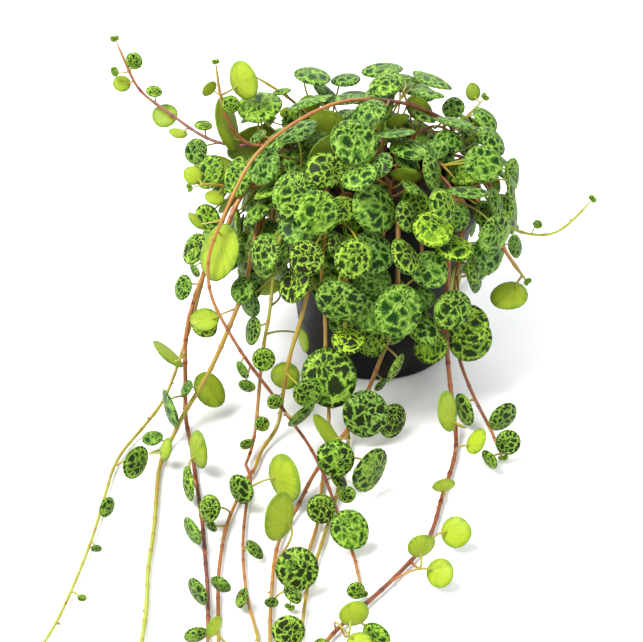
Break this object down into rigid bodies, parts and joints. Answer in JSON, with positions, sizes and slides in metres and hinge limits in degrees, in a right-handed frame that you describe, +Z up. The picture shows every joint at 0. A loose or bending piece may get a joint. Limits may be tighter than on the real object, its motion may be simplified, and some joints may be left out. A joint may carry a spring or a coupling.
{
  "type": "string of turtles plant in a nursery pot",
  "caption": "Trailing houseplant with small round patterned leaves on thread-like stems that cascade from a small black nursery pot and trail over the surface.",
  "frame": {"origin": "centre of the pot's underside, where it stands", "axes": "+Z up along the pot's axis; -Y is the front, where most stems hang over the rim and trail away; +X is to the right seen from the front"},
  "size_m": [0.1306, 0.2175, 0.0832],
  "materials": {
    "black_plastic": "thin black nursery-pot plastic, matt and a little dusty",
    "potting_soil": "moist dark peat with bark and perlite",
    "stem_and_leaf": "fleshy green leaves with a satin skin, on red-brown to yellow-green stems"
  },
  "bodies": {
    "root": {"arching_stem": "stem_and_leaf", "back_left_stem": "stem_and_leaf", "back_middle_stem": "stem_and_leaf", "back_right_shoot": "stem_and_leaf", "back_right_stem": "stem_and_leaf", "edge_shoot_1": "stem_and_leaf", "edge_shoot_2": "stem_and_leaf", "edge_shoot_3": "stem_and_leaf", "edge_shoot_4": "stem_and_leaf", "edge_shoot_5": "stem_and_leaf", "edge_shoot_6": "stem_and_leaf", "edge_shoot_7": "stem_and_leaf", "edge_shoot_8": "stem_and_leaf", "far_left_stem": "stem_and_leaf", "front_left_stem": "stem_and_leaf", "front_middle_stem": "stem_and_leaf", "front_short_stem": "stem_and_leaf", "front_thin_stem": "stem_and_leaf", "front_yellow_stem": "stem_and_leaf", "left_long_stem": "stem_and_leaf", "left_olive_stem": "stem_and_leaf", "middle_shoot_1": "stem_and_leaf", "middle_shoot_2": "stem_and_leaf", "middle_shoot_3": "stem_and_leaf", "middle_shoot_4": "stem_and_leaf", "middle_shoot_5": "stem_and_leaf", "middle_shoot_6": "stem_and_leaf", "middle_shoot_7": "stem_and_leaf", "middle_shoot_8": "stem_and_leaf", "middle_shoot_9": "stem_and_leaf", "pale_shoot": "stem_and_leaf", "pot": "black_plastic", "red_shoot": "stem_and_leaf", "right_cut_stem": "stem_and_leaf", "right_long_stem": "stem_and_leaf", "right_second_stem": "stem_and_leaf", "small_left_shoot": "stem_and_leaf", "soil": "potting_soil", "top_shoot_1": "stem_and_leaf", "top_shoot_2": "stem_and_leaf", "top_shoot_3": "stem_and_leaf", "top_shoot_4": "stem_and_leaf", "top_shoot_5": "stem_and_leaf", "top_shoot_6": "stem_and_leaf", "upright_shoot": "stem_and_leaf", "yellow_shoot": "stem_and_leaf"}
  },
  "joints": []
}
